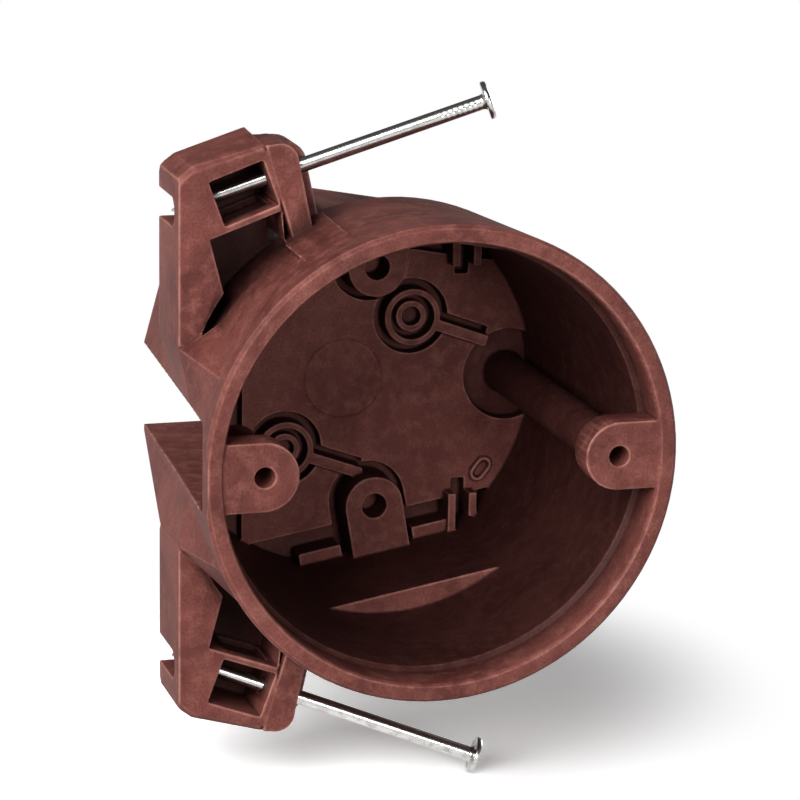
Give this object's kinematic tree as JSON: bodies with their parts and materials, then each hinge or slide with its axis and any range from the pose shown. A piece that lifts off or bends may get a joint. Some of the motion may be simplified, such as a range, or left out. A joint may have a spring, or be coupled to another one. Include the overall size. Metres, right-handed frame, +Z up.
{
  "type": "round nail-on outlet box",
  "caption": "Round moulded ceiling box for new work, with screw lugs in its rim, cable clamp lugs inside and captive nails in brackets on its stud side.",
  "frame": {"origin": "middle of the outer back face, on the axis of the cup", "axes": "+Y out of the back face, so the opening faces -Y; -X towards the stud; +Z up, from the lower nail bracket to the upper one"},
  "size_m": [0.0926, 0.076, 0.1396],
  "materials": {
    "phenolic": "moulded phenolic, reddish brown with a soft sheen",
    "nail_steel": "bright drawn steel wire"
  },
  "bodies": {
    "root": {"outlet_box": "phenolic", "nail_upper": "nail_steel", "nail_lower": "nail_steel"}
  },
  "joints": []
}
